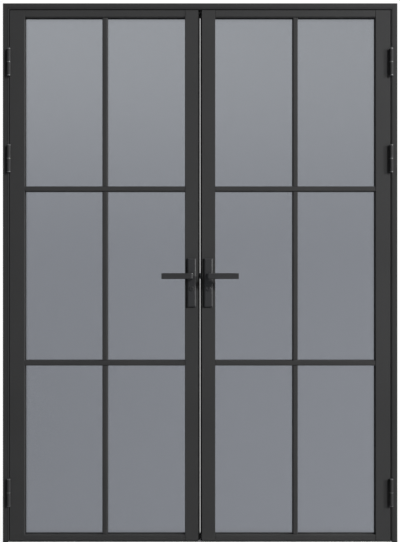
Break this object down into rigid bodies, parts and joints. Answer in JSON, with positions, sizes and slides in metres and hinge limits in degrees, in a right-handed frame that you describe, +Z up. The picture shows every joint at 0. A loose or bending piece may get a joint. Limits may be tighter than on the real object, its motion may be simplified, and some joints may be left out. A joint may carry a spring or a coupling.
{
  "type": "french doors",
  "caption": "Pair of dark metal French doors with glazing bars, grey glass, levers and a low sill, hinged in their own frame.",
  "frame": {"origin": "middle of the underside of the frame, midway through the leaves' thickness", "axes": "+X across the doorway to the viewer's right, +Y through it away from the hinge side, +Z up"},
  "size_m": [1.5, 0.164, 2.06],
  "materials": {
    "anthracite": "fine matt powder coat",
    "handle_black": "satin powder coat",
    "grey_glass": "grey tinted glass",
    "black_rubber": "matt",
    "bright_steel": "brushed",
    "sill_aluminium": "mill finish"
  },
  "bodies": {
    "frame": {"jamb_left": "anthracite", "jamb_right": "anthracite", "frame_head": "anthracite", "threshold": "sill_aluminium", "frame_seals": "black_rubber", "corner_keys": "sill_aluminium", "hinge_frame_halves_left": "anthracite", "hinge_frame_halves_right": "anthracite", "hinge_pins": "bright_steel", "hinge_washers": "bright_steel", "frame_screws": "bright_steel", "bolt_keeps": "bright_steel"},
    "leaf_left": {"left_hinge_stile": "anthracite", "left_meeting_stile": "anthracite", "left_top_rail": "anthracite", "left_bottom_rail": "anthracite", "left_upper_bar": "anthracite", "left_lower_bar": "anthracite", "left_uprights": "anthracite", "left_glass_panes": "grey_glass", "left_glazing_gaskets": "black_rubber", "left_glazing_beads": "anthracite", "left_sweep_seal": "black_rubber", "left_hinge_halves": "anthracite", "left_front_plate": "handle_black", "left_back_plate": "handle_black", "left_plate_screws": "bright_steel", "left_leaf_screws": "bright_steel", "left_cylinder": "handle_black", "lock_case": "bright_steel"},
    "lever_left": {"left_front_lever": "handle_black", "left_back_lever": "handle_black", "left_spindle": "bright_steel"},
    "leaf_right": {"right_hinge_stile": "anthracite", "right_meeting_stile": "anthracite", "right_top_rail": "anthracite", "right_bottom_rail": "anthracite", "right_upper_bar": "anthracite", "right_lower_bar": "anthracite", "right_uprights": "anthracite", "right_glass_panes": "grey_glass", "right_glazing_gaskets": "black_rubber", "right_glazing_beads": "anthracite", "right_sweep_seal": "black_rubber", "right_hinge_halves": "anthracite", "right_front_plate": "handle_black", "right_back_plate": "handle_black", "right_plate_screws": "bright_steel", "right_leaf_screws": "bright_steel", "right_cylinder": "handle_black", "gear_case": "bright_steel", "strike_plate": "bright_steel"},
    "lever_right": {"right_front_lever": "handle_black", "right_back_lever": "handle_black", "right_spindle": "bright_steel"},
    "latch_bolt": {"latch_bolt": "bright_steel"},
    "dead_bolt": {"dead_bolt": "bright_steel"},
    "top_shoot_bolt": {"top_shoot_bolt": "bright_steel"},
    "bottom_shoot_bolt": {"bottom_shoot_bolt": "bright_steel"},
    "thumbturn": {"thumbturn": "handle_black"}
  },
  "joints": [
    {"name": "left_leaf_swing", "type": "hinge", "parent": "frame", "child": "leaf_left", "pos_m": [-0.7255, -0.0323, 1.02], "axis": [0, 0, -1], "range_deg": [0, 110]},
    {"name": "right_leaf_swing", "type": "hinge", "parent": "frame", "child": "leaf_right", "pos_m": [0.7255, -0.0323, 1.02], "axis": [0, 0, 1], "range_deg": [0, 110]},
    {"name": "left_lever_turn", "type": "hinge", "parent": "leaf_left", "child": "lever_left", "pos_m": [-0.0318, 0, 1.023], "axis": [0, -1, 0], "range_deg": [0, 45], "stiffness_Nm_per_rad": 1.2, "springref_deg": -40.11},
    {"name": "right_lever_turn", "type": "hinge", "parent": "leaf_right", "child": "lever_right", "pos_m": [0.0318, 0, 1.023], "axis": [0, 1, 0], "range_deg": [0, 45], "stiffness_Nm_per_rad": 1.2, "springref_deg": -40.11},
    {"name": "latch_slide", "type": "slide", "parent": "leaf_left", "child": "latch_bolt", "axis": [-1, 0, 0], "range_m": [0, 0.0115]},
    {"name": "thumbturn_turn", "type": "hinge", "parent": "leaf_left", "child": "thumbturn", "pos_m": [-0.0318, 0.04, 0.975], "axis": [0, 1, 0], "range_deg": [0, 90]},
    {"name": "dead_bolt_slide", "type": "slide", "parent": "leaf_left", "child": "dead_bolt", "axis": [1, 0, 0], "range_m": [0, 0.0175]},
    {"name": "top_bolt_slide", "type": "slide", "parent": "leaf_right", "child": "top_shoot_bolt", "axis": [0, 0, -1], "range_m": [0, 0.0125]},
    {"name": "bottom_bolt_slide", "type": "slide", "parent": "leaf_right", "child": "bottom_shoot_bolt", "axis": [0, 0, 1], "range_m": [0, 0.0125]}
  ],
  "couplings": [
    {"joint": "latch_slide", "follows": "left_lever_turn", "m_per_rad": 0.01464},
    {"joint": "thumbturn_turn", "follows": "dead_bolt_slide", "rad_per_m": 89.76},
    {"joint": "top_bolt_slide", "follows": "right_lever_turn", "m_per_rad": 0.01591},
    {"joint": "bottom_bolt_slide", "follows": "right_lever_turn", "m_per_rad": 0.01591}
  ]
}
